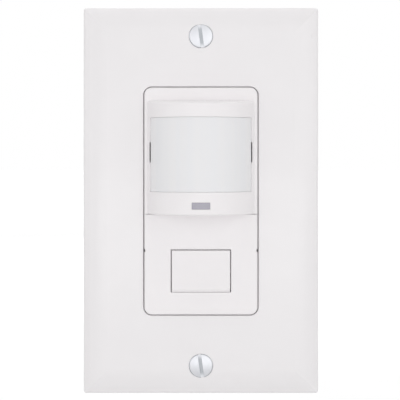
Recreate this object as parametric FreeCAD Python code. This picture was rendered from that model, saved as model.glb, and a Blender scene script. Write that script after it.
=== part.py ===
import FreeCAD, Part
import math
import os
from FreeCAD import Vector

# Wall switch occupancy sensor with its one-gang wall plate, in millimetres.
# The wall's surface is the plane y = 0, the front faces -Y and +Z is up.
# The origin is the device's centre on the wall's surface.

os.makedirs("parts", exist_ok=True)

# Wall plate
plate_width = 69.85
plate_height = 114.3
plate_depth = 5.6
plate_wall = 2.2
plate_corner_radius = 2.0
plate_edge_height = 2.3
plate_edge_draft = 0.25
plate_shoulder_width = 1.2
plate_shoulder_bulge = 0.18
plate_bevel_width = 6.3
plate_bevel_drop = 1.7
plate_cavity_slope = 2.6
plate_rib_gap = 1.0
opening_width = 33.75
opening_corner_radius = 2.5
opening_edge_round = 0.3
plate_screw_inset = 8.73
plate_boss_radius = 3.0
plate_rib_width = 1.2

# Screws of the 6-32 size, and what they pass through
screw_radius = 1.74
tapped_clearance = 0.05
through_clearance = 0.25
plate_head_radius = 3.5
plate_head_cone = 1.5
plate_head_crown = 0.55
plate_head_sink = 0.1
head_seat_clearance = 0.05
plate_screw_length = 11.5
driver_slot_width = 1.0
driver_slot_depth = 1.1

# Mounting strap of sheet steel
strap_thickness = 1.3
strap_side = 3.2
strap_body_margin = 3.17
strap_neck_width = 24.0
strap_ear_width = 38.0
strap_ear_height = 7.5
strap_end_gap = 4.65
strap_corner_radius = 2.0
strap_window_gap = 0.425
strap_window_margin = 2.0
strap_window_radius = 1.5
ear_hole_radius = 1.3
ear_hole_offset = 14.0

# Box screws
screw_row_step = 6.75
box_slot_width = 4.0
box_slot_length = 6.6
box_head_radius = 3.4
box_head_height = 1.8
box_head_round = 0.7
box_thread_gap = 0.2
box_screw_reach = 20.0
box_neck_radius = 1.4
retainer_width = 10.0
retainer_height = 7.0
retainer_thickness = 0.6
retainer_corner = 1.0

# Ground screw on its tab of the strap
ground_x = -15.2
ground_tab_width = 10.6
ground_tab_height = 9.0
ground_head_radius = 4.0
ground_head_height = 2.2
ground_screw_front = 0.9
ground_tab_overlap = 4.0
wire_gap = 0.6

# Device front in the plate's opening
face_gap = 0.35
face_proud = 0.7
cover_thickness = 1.4
edge_round = 0.3
seam_height = -3.8
seam_gap = 0.18

# Front frame
frame_deck = 1.5
frame_side = 2.125
frame_border = 2.2
frame_rim_inset = 0.2
frame_rim_wall = 1.1
frame_lip_gap = 0.1
frame_lip_thickness = 0.8
frame_corner_radius = 2.0

# Sensor head and its lens
head_side_margin = 0.825
head_rise = 10.48
head_wall = 1.7
head_bottom_wall = 1.3
roof_margin = 3.725
roof_drop = 1.0
roof_round = 0.8
lip_round = 0.35
window_sill = 6.55
window_roof_gap = 4.1
window_angle = 60.6
lens_recess = 0.55
lens_thickness = 0.7
lens_border = 0.9
lens_side_border = 2.6
pane_recess = 0.2
pane_gap = 0.06
lens_clearance = 0.03
slit_lift = 0.7
slit_length = 5.9
slit_start = 1.0
slit_reach = 0.16
slit_drop = 2.2

# Lens retainer with the tracks of the two shutters
shutter_inset = 2.2
shutter_thickness = 0.5
shutter_inner_angle = 61.8
shutter_outer_angle = 84.0
track_clearance = 0.1
track_height = 1.5
track_wall = 0.4
track_sweep = 88.0
track_post_width = 5.0
track_post_wall = 1.0
track_cover = 0.375

# Hooks that hold the head in the frame
hook_width = 4.0
hook_thickness = 1.0
hook_barb = 0.45
hook_barb_height = 0.7
hook_x = 5.0
hook_margin = 1.4
hook_clearance = 0.2
hook_play = 0.05
foot_root = 2.0
foot_offset = 2.0

# Status light and its light pipe
light_width = 5.2
light_height = 1.87
light_centre = -1.05
light_flange = 0.75
light_flange_thickness = 0.8
light_stem_width = 3.0
light_stem_height = 1.3
light_gap = 0.3
light_fit = 0.05
light_recess = 0.05
light_flange_low = 0.2
led_width = 3.2
led_height = 1.6
led_thickness = 1.1
led_base_thickness = 0.6
led_dome_width = 2.2

# Control cover and push button
button_width = 17.06
button_top_margin = 10.545
button_bottom_margin = 6.58
button_gap = 0.33
button_proud = 0.3
button_travel = 0.9
button_bevel = 0.8
button_bevel_depth = 0.45
button_low_gap = 0.1
button_corner = 0.2
button_hole_corner = 0.25
button_round = 0.15
button_flange = 1.2
button_flange_thickness = 0.9
button_play = 0.1
button_leg = 1.6
button_leg_offset = 6.4
button_leg_clearance = 0.15
button_leg_reach = 0.9
button_boss_radius = 1.5
pry_notch_height = 0.8
pry_notch_depth = 0.25
cover_tab_width = 6.0
cover_tab_thickness = 0.9
cover_tab_length = 1.8
cover_tab_clearance = 0.15

# Trimmers and their dials under the cover
dial_spacing = 9.0
dial_drop = 5.51
dial_radius = 3.0
dial_hole_clearance = 0.25
dial_front_gap = 0.6
dial_slot_width = 0.8
dial_slot_depth = 0.8
dial_slot_length = 4.8
dial_shaft_radius = 1.0
running_clearance = 0.05
trimmer_size = 6.6
trimmer_height = 2.6

# Circuit boards
front_board_face = 1.4
board_thickness = 1.4
front_board_side_gap = 1.8
front_board_margin = 0.5
board_post_radius = 1.8
board_post_side = 3.0
board_post_inset = 1.7
board_screw_radius = 0.9
board_screw_head_radius = 1.7
board_screw_head = 0.9
board_screw_bite = 3.2
board_screw_fit = 0.02
board_screw_cross = 2.0
rear_board_face = 12.0
rear_board_margin = 0.5
board_corner_radius = 1.0

# Parts on the front board
can_radius = 4.6
can_height = 4.2
can_rim = 0.5
can_rim_radius = 5.0
can_window = 4.0
can_window_thickness = 0.3
can_window_sink = 0.05
photocell_radius = 2.0
photocell_height = 2.0
photocell_x = 9.5
photocell_z = 3.5
switch_size = 6.2
switch_height = 3.4
plunger_radius = 1.65
switch_floor = 0.5
dome_radius = 2.3
dome_rise = 0.9
dome_thickness = 0.15
dome_room = 0.12
chip_size = 9.0
chip_height = 1.4
chip_z = 6.0
chip_lift = 0.1
chip_leads = 8
chip_lead_reach = 1.0
header_pins = 6
header_pitch = 2.54
header_block = 2.5
header_pin = 0.64
header_x = -11.0
header_margin = 16.5

# Rear housing
housing_side = 2.625
housing_depth = 33.0
housing_wall = 1.8
housing_corner_radius = 2.5
housing_back_round = 1.5
housing_panel_margin = 6.5
housing_panel_low_margin = 16.0
housing_panel_depth = 0.4
housing_panel_radius = 1.5
strip_gauge_length = 14.0
strip_gauge_width = 2.6
strip_gauge_depth = 0.9
strip_gauge_lift = 7.5
housing_rib_spacing = 6.0
housing_rib_thickness = 1.2
housing_rib_height = 0.8
housing_rib_length = 24.0
parting_offset = 2.3
parting_width = 0.4
parting_depth = 0.25
housing_flange_width = 34.0
housing_flange_thickness = 2.2
ledge_width = 3.0
ledge_height = 3.6
rivet_x = 12.0
rivet_row_inset = 6.37
rivet_border = 2.3
opening_rivet_gap = 1.725
rivet_radius = 1.2
rivet_clearance = 0.05
rivet_head_radius = 2.0
rivet_head_height = 0.5

# Side terminals: line and load on the right, neutral on the left
terminal_height = 12.0
terminal_y = 24.0
pocket_depth = 4.2
pocket_size = 11.0
pocket_floor = 1.2
terminal_tab_thickness = 0.8
terminal_tab_width = 7.0
terminal_clamp_size = 8.4
terminal_clamp_thickness = 0.9
terminal_head_radius = 3.6
terminal_head_height = 1.5
terminal_screw_reach = 1.0
terminal_slot_depth = 0.8
terminal_leg_inset = 1.6
terminal_slot_fit = 0.1

# Parts on the rear board
relay_width = 15.2
relay_height = 18.6
relay_depth = 15.4
relay_leg_gap = 0.3
relay_top_margin = 4.4
film_width = 5.0
film_height = 13.0
film_depth = 11.5
film_leg_gap = 0.3
film_top_margin = 7.2
can_cap_radius = 4.0
can_cap_length = 12.0
can_cap_spacing = 8.8
can_cap_x = -8.0
can_groove_offset = 1.8
can_cap_gap = 2.4
varistor_radius = 5.2
varistor_thickness = 4.2
varistor_leg_gap = 1.2
varistor_gap = 3.0
varistor_lift = 0.5
varistor_round = 1.2
relay_vent_radius = 0.7
axial_lift = 0.25
lead_radius = 0.35
lead_overhang = 1.6
fuse_radius = 1.8
fuse_length = 9.0
fuse_leg_gap = 1.7
fuse_gap = 2.2
diode_radius = 1.3
diode_length = 4.6
diode_count = 4
diode_pitch = 4.4
diode_x = -9.6
diode_gap = 1.0

# Rows along Z, worked inwards from the plate's ends
plate_screw_spacing = plate_height - 2 * plate_screw_inset
strap_length = plate_height - 2 * strap_end_gap
box_screw_spacing = plate_screw_spacing - 2 * screw_row_step
strap_body_height = box_screw_spacing - 2 * strap_body_margin
rivet_z = box_screw_spacing / 2 - rivet_row_inset
housing_flange_height = 2 * (rivet_z + rivet_border)
housing_height = 2 * (rivet_z - rivet_border)
frame_height = 2 * (rivet_z + frame_border)
opening_height = 2 * (rivet_z - opening_rivet_gap)
strap_window_height = housing_height - 2 * strap_window_margin
front_board_height = strap_window_height - 2 * front_board_margin
board_post_z = front_board_height / 2 - board_post_inset
rear_board_height = housing_height - 2 * (housing_wall + rear_board_margin)
header_z = header_margin - front_board_height / 2

# Widths along X, worked outwards from the plate's opening
strap_window_width = opening_width + 2 * strap_window_gap
strap_width = strap_window_width + 2 * strap_side
frame_width = opening_width + 2 * frame_side
housing_width = opening_width + 2 * housing_side
front_board_width = strap_window_width - 2 * front_board_side_gap
board_post_x = front_board_width / 2 - board_post_side
rear_board_width = housing_width - 2 * (housing_wall + rear_board_margin)

# Planes along Y that pieces share
plate_face = -plate_depth
plate_inner = -(plate_depth - plate_wall)
strap_front = -strap_thickness
deck_front = strap_front - frame_deck
device_face = plate_face - face_proud
cover_back = device_face + cover_thickness
rear_board_back = rear_board_face + board_thickness
front_board_back = front_board_face + board_thickness
housing_floor = housing_depth - housing_wall

# Sizes worked out from the driving ones
device_width = opening_width - 2 * face_gap
device_height = opening_height - 2 * face_gap
device_radius = opening_corner_radius - face_gap
half_device = device_width / 2
top_device = device_height / 2
head_bottom = seam_height + seam_gap / 2
cover_top = seam_height - seam_gap / 2
head_half_chord = half_device - head_side_margin
head_radius = (head_half_chord**2 + head_rise**2) / (2 * head_rise)
lens_axis = device_face - head_rise + head_radius
head_inner_radius = head_radius - head_wall
roof_back = top_device - roof_margin
roof_front = roof_back - roof_drop
window_bottom = head_bottom + window_sill
window_top = roof_front - window_roof_gap
sensor_height = (window_bottom + window_top) / 2
slit_bottom = sensor_height + slit_lift - slit_length / 2
slit_top = slit_bottom + slit_length
lens_outer = head_radius - lens_recess
lens_inner = lens_outer - lens_thickness
lens_bottom = window_bottom - lens_border
lens_top = window_top + lens_border
lens_angle = window_angle + lens_side_border
pane_radius = head_radius - pane_recess
pane_angle = window_angle - math.degrees(pane_gap / pane_radius)
slit_side = head_radius * math.sin(math.radians(window_angle)) + slit_reach
rim_half_width = half_device - frame_rim_inset
rim_half_height = top_device - frame_rim_inset
chamber_half_width = rim_half_width - frame_rim_wall
chamber_bottom = head_bottom + frame_rim_wall / 2
shutter_radius = head_radius - shutter_inset
shutter_top = lens_top + track_cover
shutter_bottom = lens_bottom - track_cover
track_top = shutter_top + track_clearance + track_wall
track_bottom = shutter_bottom - track_clearance - track_wall
chamber_top = track_top + track_clearance + track_wall
hook_z = chamber_top + hook_margin
button_high = cover_top - button_top_margin
button_low = -top_device + button_bottom_margin
button_height = button_high - button_low
button_centre = (button_high + button_low) / 2
notch_high = button_high + button_gap
notch_low = notch_high - pry_notch_height
dial_height = cover_top - dial_drop
button_front = device_face - button_proud
button_back = cover_back + button_play + button_flange_thickness
switch_front = front_board_face - switch_height
plunger_front = button_back + button_travel + button_play
trimmer_front = front_board_face - trimmer_height
dial_front = cover_back + dial_front_gap
dial_back = trimmer_front - button_play
pocket_x = housing_width / 2 - pocket_depth
leg_x = pocket_x - pocket_floor - terminal_leg_inset
relay_x = relay_leg_gap + relay_width / 2 - leg_x
film_x = leg_x - film_leg_gap - film_width / 2
varistor_x = leg_x - varistor_leg_gap - varistor_thickness / 2
fuse_x = leg_x - fuse_leg_gap - fuse_radius
relay_z = rear_board_height / 2 - relay_top_margin - relay_height / 2
film_z = rear_board_height / 2 - film_top_margin - film_height / 2
can_cap_z = relay_z - relay_height / 2 - can_cap_gap - can_cap_radius
varistor_z = film_z - film_height / 2 - varistor_gap - varistor_radius
fuse_z = varistor_z - varistor_radius - fuse_gap - lead_overhang - fuse_length / 2
diode_z = can_cap_z - can_cap_radius - diode_gap - diode_radius
terminals = ((1, terminal_height), (1, -terminal_height), (-1, terminal_height))

# How far joined shapes reach into each other, and how far a cutting shape passes its piece
join = 0.1
past = 1.0


def block(x0, x1, y0, y1, z0, z1):
    """A box between two corners."""
    return Part.makeBox(x1 - x0, y1 - y0, z1 - z0, Vector(x0, y0, z0))


def rod_x(y, z, radius, x0, x1):
    """A round bar along X."""
    return Part.makeCylinder(radius, x1 - x0, Vector(x0, y, z), Vector(1, 0, 0))


def rod_y(x, z, radius, y0, y1):
    """A round bar along Y."""
    return Part.makeCylinder(radius, y1 - y0, Vector(x, y0, z), Vector(0, 1, 0))


def rod_z(x, y, radius, z0, z1):
    """A round bar along Z."""
    return Part.makeCylinder(radius, z1 - z0, Vector(x, y, z0), Vector(0, 0, 1))


def cone_y(x, z, radius0, radius1, y0, y1):
    """A cone about an axis along Y."""
    return Part.makeCone(radius0, radius1, y1 - y0, Vector(x, y0, z), Vector(0, 1, 0))


def rounded_slab(x0, x1, z0, z1, y0, y1, low_radius, high_radius):
    """A plate with round corners: low_radius at its bottom edge and high_radius at its top edge."""
    corners = (
        (x0, z0, 1, 1, low_radius),
        (x1, z0, -1, 1, low_radius),
        (x1, z1, -1, -1, high_radius),
        (x0, z1, 1, -1, high_radius),
    )
    edges = []
    ends = []
    for number, (x, z, sx, sz, radius) in enumerate(corners):
        along_x = Vector(x + sx * radius, y0, z)
        along_z = Vector(x, y0, z + sz * radius)
        first, last = (along_z, along_x) if number % 2 == 0 else (along_x, along_z)
        ends.append((first, last))
        if radius > 0:
            turn = radius * (1 - math.sqrt(0.5))
            middle = Vector(x + sx * turn, y0, z + sz * turn)
            edges.append(Part.Arc(first, middle, last).toShape())
    for number in range(4):
        start = ends[number][1]
        finish = ends[(number + 1) % 4][0]
        edges.append(Part.LineSegment(start, finish).toShape())
    outline = Part.Wire(Part.__sortEdges__(edges))
    return Part.Face(outline).extrude(Vector(0, y1 - y0, 0))


def centred_slab(width, height, y0, y1, radius):
    """A plate with round corners about the device's centre."""
    return rounded_slab(-width / 2, width / 2, -height / 2, height / 2, y0, y1, radius, radius)


def arc_point(radius, angle, z):
    """A point round the lens's upright axis. The angle runs from the front towards +X."""
    turn = math.radians(angle)
    return Vector(radius * math.sin(turn), lens_axis - radius * math.cos(turn), z)


def arc_shell(inner, outer, z0, z1, angle0, angle1):
    """A curved wall round the lens's upright axis."""
    middle = (angle0 + angle1) / 2
    out0, out_middle, out1 = [arc_point(outer, angle, z0) for angle in (angle0, middle, angle1)]
    in0, in_middle, in1 = [arc_point(inner, angle, z0) for angle in (angle0, middle, angle1)]
    outside = Part.Arc(out0, out_middle, out1)
    inside = Part.Arc(in1, in_middle, in0)
    start = Part.LineSegment(in0, out0)
    finish = Part.LineSegment(out1, in1)
    outline = Part.Wire([start.toShape(), outside.toShape(), finish.toShape(), inside.toShape()])
    return Part.Face(outline).extrude(Vector(0, 0, z1 - z0))


def fuse(shapes):
    """Several touching shapes as one solid."""
    whole = shapes[0].fuse(shapes[1:]) if len(shapes) > 1 else shapes[0]
    return whole.removeSplitter()


def edges_where(shape, test):
    """The edges whose every sampled point passes a test."""
    chosen = []
    for edge in shape.Edges:
        points = edge.discretize(5)
        if all(test(point) for point in points):
            chosen.append(edge)
    return chosen


def near(a, b):
    """True for two values that are the same but for rounding."""
    return abs(a - b) < 1e-4


def save(name, shapes):
    """Writes one node, checked and as one compound of its separate solids."""
    solids = []
    for shape in shapes:
        solids.extend(shape.Solids)
    for solid in solids:
        if not solid.isValid() or solid.Volume <= 0:
            raise ValueError(name + " has a bad solid")
    node = solids[0] if len(solids) == 1 else Part.makeCompound(solids)
    node.exportStep("parts/" + name + ".step")
    print(name, len(solids), "solid", round(sum(solid.Volume for solid in solids), 2), "mm3")


def plate_edge_points(half):
    """The outer section of the plate's edge, from the wall to the flat face."""
    shoulder_y = -(plate_depth - plate_bevel_drop)
    rim = Vector(half, 0, 0)
    wall = Vector(half - plate_edge_draft, -plate_edge_height, 0)
    shoulder = Vector(half - plate_shoulder_width, shoulder_y, 0)
    crest = Vector(half - plate_shoulder_width - plate_bevel_width, plate_face, 0)
    chord = shoulder - wall
    outward = Vector(-chord.y, chord.x, 0) * plate_shoulder_bulge
    shoulder_via = (wall + shoulder) * 0.5 + outward
    bevel_radius = (plate_bevel_width**2 + plate_bevel_drop**2) / (2 * plate_bevel_drop)
    half_bevel = plate_bevel_width / 2
    via_y = plate_face + bevel_radius - math.sqrt(bevel_radius**2 - half_bevel**2)
    bevel_via = Vector(crest.x + half_bevel, via_y, 0)
    return rim, wall, shoulder_via, shoulder, bevel_via, crest


def section_prism(half, length, across):
    """The plate's section drawn from side to side and drawn out along its other direction."""
    rim, wall, shoulder_via, shoulder, bevel_via, crest = plate_edge_points(half)
    sides = []
    for side in (1, -1):
        flip = lambda p: Vector(p.x * side, p.y, 0)
        sides.append(Part.LineSegment(flip(rim), flip(wall)).toShape())
        sides.append(Part.Arc(flip(wall), flip(shoulder_via), flip(shoulder)).toShape())
        sides.append(Part.Arc(flip(shoulder), flip(bevel_via), flip(crest)).toShape())
    sides.append(Part.LineSegment(Vector(-crest.x, crest.y, 0), crest).toShape())
    sides.append(Part.LineSegment(Vector(-rim.x, rim.y, 0), rim).toShape())
    face = Part.Face(Part.Wire(Part.__sortEdges__(sides)))
    prism = face.extrude(Vector(0, 0, length))
    prism.translate(Vector(0, 0, -length / 2))
    if across:
        prism.rotate(Vector(0, 0, 0), Vector(0, 1, 0), 90)
    return prism


def cavity_prism(half, length, across):
    """The hollow behind the plate, sloped in below its bevel."""
    outer = half - plate_wall
    inner = outer - plate_cavity_slope
    deep = plate_inner
    turn = deep + plate_cavity_slope / 2
    points = [(-outer, 1), (-outer, turn), (-inner, deep), (inner, deep), (outer, turn), (outer, 1)]
    corners = [Vector(u, y, 0) for u, y in points]
    face = Part.Face(Part.makePolygon(corners + corners[:1]))
    prism = face.extrude(Vector(0, 0, length))
    prism.translate(Vector(0, 0, -length / 2))
    if across:
        prism.rotate(Vector(0, 0, 0), Vector(0, 1, 0), 90)
    return prism


def make_wallplate():
    """The one-gang plate with a mitred bevel, its opening, screw seats and bosses."""
    tall = section_prism(plate_width / 2, 2 * plate_height, False)
    wide = section_prism(plate_height / 2, 2 * plate_height, True)
    outline = centred_slab(plate_width, plate_height, -2 * plate_depth, plate_depth, plate_corner_radius)
    body = tall.common(wide).common(outline)
    hollow = cavity_prism(plate_width / 2, 2 * plate_height, False)
    hollow = hollow.common(cavity_prism(plate_height / 2, 2 * plate_height, True))
    body = body.cut(hollow)
    bosses = []
    for side in (1, -1):
        z = side * plate_screw_spacing / 2
        bosses.append(rod_y(0, z, plate_boss_radius, plate_inner - plate_wall / 2, strap_front))
        rib_end = plate_width / 2 - plate_wall
        rib_start = strap_ear_width / 2 + plate_rib_gap
        for x0, x1 in ((-rib_end, -rib_start), (rib_start, rib_end)):
            rib_z = z - plate_rib_width / 2
            rib_front = plate_inner - plate_wall / 2
            bosses.append(block(x0, x1, rib_front, strap_front, rib_z, rib_z + plate_rib_width))
    body = fuse([body] + bosses)
    opening = centred_slab(
        opening_width, opening_height, -2 * plate_depth, plate_depth, opening_corner_radius
    )
    body = body.cut(opening)

    def round_opening(p):
        inside = abs(p.x) < opening_width / 2 + join and abs(p.z) < opening_height / 2 + join
        return near(p.y, plate_face) and inside

    body = body.makeFillet(opening_edge_round, edges_where(body, round_opening))
    for side in (1, -1):
        z = side * plate_screw_spacing / 2
        body = body.cut(rod_y(0, z, screw_radius + through_clearance, -2 * plate_depth, plate_depth))
        seat_top = plate_head_radius + plate_head_sink + head_seat_clearance
        seat_end = screw_radius + through_clearance
        body = body.cut(cone_y(0, z, seat_top, seat_end, plate_face, plate_face + plate_head_cone))
    return body


def plate_screw(z):
    """An oval-head screw: a cone in its seat, a low crown, an upright driver slot and the shank."""
    head_y = plate_face + plate_head_sink
    cone_end = head_y + plate_head_cone
    shank = rod_y(0, z, screw_radius, cone_end - join, head_y + plate_screw_length)
    cone = cone_y(0, z, plate_head_radius, screw_radius, head_y, cone_end)
    crown_radius = (plate_head_radius**2 + plate_head_crown**2) / (2 * plate_head_crown)
    ball = Part.makeSphere(crown_radius, Vector(0, head_y - plate_head_crown + crown_radius, z))
    crown = ball.common(rod_y(0, z, plate_head_radius, head_y - plate_head_crown - past, head_y))
    screw = fuse([cone, shank, crown])
    top = head_y - plate_head_crown
    half_slot = driver_slot_width / 2
    reach = plate_head_radius + past
    slot = block(-half_slot, half_slot, top - past, top + driver_slot_depth, z - reach, z + reach)
    return screw.cut(slot)


def make_plate_screws():
    return [plate_screw(side * plate_screw_spacing / 2) for side in (1, -1)]


def make_mounting_strap():
    """The steel strap: body, necks, ears, the window for the boards and all its holes."""
    half_length = strap_length / 2
    body = centred_slab(strap_width, strap_body_height, strap_front, 0, strap_corner_radius)
    half_neck = strap_neck_width / 2
    neck = block(-half_neck, half_neck, strap_front, 0, past - half_length, half_length - past)
    pieces = [body, neck]
    for side in (1, -1):
        low, high = sorted((side * half_length, side * (half_length - strap_ear_height)))
        ear = rounded_slab(
            -strap_ear_width / 2, strap_ear_width / 2, low, high,
            strap_front, 0, strap_corner_radius, strap_corner_radius,
        )
        pieces.append(ear)
    tab_bottom = -strap_body_height / 2 - ground_tab_height
    tab_left = ground_x - ground_tab_width / 2
    pieces.append(
        rounded_slab(
            tab_left, tab_left + ground_tab_width,
            tab_bottom, tab_bottom + ground_tab_height + ground_tab_overlap,
            strap_front, 0, strap_corner_radius, strap_corner_radius,
        )
    )
    strap = fuse(pieces)
    window = centred_slab(
        strap_window_width, strap_window_height, strap_front - past, past, strap_window_radius
    )
    strap = strap.cut(window)
    for side in (1, -1):
        z = side * plate_screw_spacing / 2
        strap = strap.cut(rod_y(0, z, screw_radius + tapped_clearance, strap_front - past, past))
        z = side * box_screw_spacing / 2
        half_slot = box_slot_width / 2
        slot_corner = 0.999 * half_slot
        strap = strap.cut(
            rounded_slab(
                -box_slot_length / 2, box_slot_length / 2, z - half_slot, z + half_slot,
                strap_front - past, past, slot_corner, slot_corner,
            )
        )
        for x in (-ear_hole_offset, ear_hole_offset):
            ear_z = side * (half_length - strap_ear_height / 2)
            strap = strap.cut(rod_y(x, ear_z, ear_hole_radius, strap_front - past, past))
        for x in (-rivet_x, rivet_x):
            hole_radius = rivet_radius + rivet_clearance
            strap = strap.cut(rod_y(x, side * rivet_z, hole_radius, strap_front - past, past))
    ground_z = tab_bottom + ground_tab_height / 2
    strap = strap.cut(rod_y(ground_x, ground_z, screw_radius + tapped_clearance, strap_front - past, past))
    return strap


def box_screw(z):
    """A 6-32 screw that fastens the strap to the wall box. Its plain neck lets it float in the slot."""
    thread_start = retainer_thickness + box_thread_gap
    neck = rod_y(0, z, box_neck_radius, strap_front - join, thread_start + join)
    thread = rod_y(0, z, screw_radius, thread_start, box_screw_reach)
    head_front = strap_front - box_head_height
    head = rod_y(0, z, box_head_radius, head_front, strap_front)
    rim = edges_where(head, lambda p: near(p.y, head_front))
    head = head.makeFillet(box_head_round, rim)
    screw = fuse([head, neck, thread])
    half_slot = driver_slot_width / 2
    reach = box_head_radius + past
    slot_floor = head_front + driver_slot_depth
    slot = block(-reach, reach, head_front - past, slot_floor, z - half_slot, z + half_slot)
    return screw.cut(slot)


def make_box_screws():
    return [box_screw(side * box_screw_spacing / 2) for side in (1, -1)]


def make_screw_retainers():
    """Thin fibre pieces that grip the box screws behind the strap."""
    pieces = []
    for side in (1, -1):
        z = side * box_screw_spacing / 2
        piece = rounded_slab(
            -retainer_width / 2, retainer_width / 2, z - retainer_height / 2, z + retainer_height / 2,
            0, retainer_thickness, retainer_corner, retainer_corner,
        )
        pieces.append(piece.cut(rod_y(0, z, box_neck_radius + tapped_clearance, -1, 1)))
    return pieces


def make_ground_screw():
    """The hexagonal ground screw, with room for a wire between its head and the strap."""
    z = -strap_body_height / 2 - ground_tab_height / 2
    shank = rod_y(ground_x, z, screw_radius, strap_front - ground_screw_front, wire_gap + join)
    centre = Vector(ground_x, wire_gap, z)
    corners = []
    for number in range(7):
        turn = math.radians(60 * number)
        corners.append(centre + Vector(math.cos(turn), 0, math.sin(turn)) * ground_head_radius)
    head = Part.Face(Part.makePolygon(corners)).extrude(Vector(0, ground_head_height, 0))
    screw = fuse([shank, head])
    half_slot = driver_slot_width / 2
    back = wire_gap + ground_head_height
    reach = ground_head_radius + past
    slot_floor = back - driver_slot_depth
    slot = block(ground_x - reach, ground_x + reach, slot_floor, back + past, z - half_slot, z + half_slot)
    return screw.cut(slot)


def make_frame_rivets():
    """Four tubular rivets through the frame, the strap and the housing's flanges."""
    rivets = []
    back = housing_flange_thickness
    for x in (-rivet_x, rivet_x):
        for z in (-rivet_z, rivet_z):
            shank = rod_y(x, z, rivet_radius, deck_front - join, back + join)
            head = rod_y(x, z, rivet_head_radius, deck_front - rivet_head_height, deck_front)
            roll = rod_y(x, z, rivet_head_radius, back, back + rivet_head_height)
            bore = rod_y(x, z, rivet_radius / 2, back - past, back + rivet_head_height + past)
            rivets.append(fuse([shank, head, roll]).cut(bore))
    return rivets


def make_front_frame():
    """The moulded frame: a deck on the strap, a lipped rim in the plate's opening, a rib at the seam."""
    deck = centred_slab(frame_width, frame_height, deck_front, strap_front, frame_corner_radius)
    rim_radius = device_radius - frame_rim_inset
    rim = centred_slab(2 * rim_half_width, 2 * rim_half_height, cover_back, deck_front + join, rim_radius)
    inner_height = 2 * (rim_half_height - frame_rim_wall)
    inner = centred_slab(
        2 * chamber_half_width, inner_height, cover_back - past, deck_front, rim_radius - frame_rim_wall
    )
    lip_radius = opening_corner_radius - frame_lip_gap
    lip_width = opening_width - 2 * frame_lip_gap
    lip_height = opening_height - 2 * frame_lip_gap
    lip = centred_slab(lip_width, lip_height, cover_back, cover_back + frame_lip_thickness, lip_radius)
    for side in (1, -1):
        x0, x1 = sorted((side * rim_half_width, side * opening_width))
        lip = lip.cut(block(x0, x1, cover_back - past, deck_front, notch_low, notch_high))
    frame = fuse([deck, rim, lip]).cut(inner)
    rib_half = frame_rim_wall / 2
    rib = block(
        -chamber_half_width - join, chamber_half_width + join, cover_back, deck_front + join,
        seam_height - rib_half, seam_height + rib_half,
    )
    posts = []
    for x in (-board_post_x, board_post_x):
        for z in (-board_post_z, board_post_z):
            posts.append(rod_y(x, z, board_post_radius, strap_front - join, front_board_face))
    frame = fuse([frame, rib] + posts)
    chamber = block(
        -chamber_half_width, chamber_half_width,
        deck_front - past, strap_front + past, chamber_bottom, chamber_top,
    )
    frame = frame.cut(chamber)
    for x in (-dial_spacing, 0, dial_spacing):
        hole_radius = dial_radius + dial_hole_clearance
        frame = frame.cut(rod_y(x, dial_height, hole_radius, deck_front - past, strap_front + past))
    half_switch = switch_size / 2 + button_leg_clearance
    frame = frame.cut(
        block(
            -half_switch, half_switch, deck_front - past, strap_front + past,
            button_centre - half_switch, button_centre + half_switch,
        )
    )
    half_leg = button_leg / 2 + button_leg_clearance
    for x in (-button_leg_offset, button_leg_offset):
        frame = frame.cut(
            block(
                x - half_leg, x + half_leg, deck_front - past, strap_front + past,
                button_centre - half_leg, button_centre + half_leg,
            )
        )
    for side in (1, -1):
        for x in (-rivet_x, rivet_x):
            hole_radius = rivet_radius + rivet_clearance
            frame = frame.cut(rod_y(x, side * rivet_z, hole_radius, deck_front - past, strap_front + past))
        for x in (-board_post_x, board_post_x):
            pilot_radius = board_screw_radius + board_screw_fit
            pilot_end = front_board_back - board_screw_bite - join
            frame = frame.cut(rod_y(x, side * board_post_z, pilot_radius, pilot_end, front_board_face + past))
    for x0, x1, z0, z1 in hook_slots():
        frame = frame.cut(block(x0, x1, deck_front - past, strap_front + past, z0, z1))
    return frame


def hook_slots():
    """The slots in the deck that take the head's two upper hooks."""
    slots = []
    for x in (-hook_x, hook_x):
        slots.append(
            (
                x - hook_width / 2 - hook_clearance,
                x + hook_width / 2 + hook_clearance,
                hook_z - hook_clearance,
                hook_z + hook_thickness + hook_clearance,
            )
        )
    return slots


def roof_cutter(lift):
    """Everything above the head's sloping roof, or above a roof sunk by lift below it."""
    front_y = device_face - head_rise
    slope = (roof_back - roof_front) / head_rise
    reach = 6.0
    near_front = Vector(0, front_y - reach, roof_front - slope * reach - lift)
    near_back = Vector(0, device_face + reach, roof_back + slope * reach - lift)
    high = roof_back + 2 * reach
    corners = [near_front, near_back, Vector(0, near_back.y, high), Vector(0, near_front.y, high)]
    face = Part.Face(Part.makePolygon(corners + corners[:1]))
    wedge = face.extrude(Vector(4 * head_half_chord, 0, 0))
    wedge.translate(Vector(-2 * head_half_chord, 0, 0))
    return wedge


def slit_cutter(side):
    """The slit beside the lens: its outer wall runs straight back before it opens into the head."""
    outside = head_radius + past
    inside = head_inner_radius - join
    front = -math.sqrt(outside**2 - slit_side**2)
    back = -math.sqrt(head_radius**2 - slit_side**2) + slit_drop
    drop_angle = math.degrees(math.atan2(slit_side, -back))
    low = slit_bottom
    points = [
        arc_point(inside, window_angle - slit_start, low),
        arc_point(outside, window_angle - slit_start, low),
        Vector(slit_side, lens_axis + front, low),
        Vector(slit_side, lens_axis + back, low),
        arc_point(inside, drop_angle, low),
    ]
    points = [Vector(side * p.x, p.y, p.z) for p in points]
    return Part.Face(Part.makePolygon(points + points[:1])).extrude(Vector(0, 0, slit_length))


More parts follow.
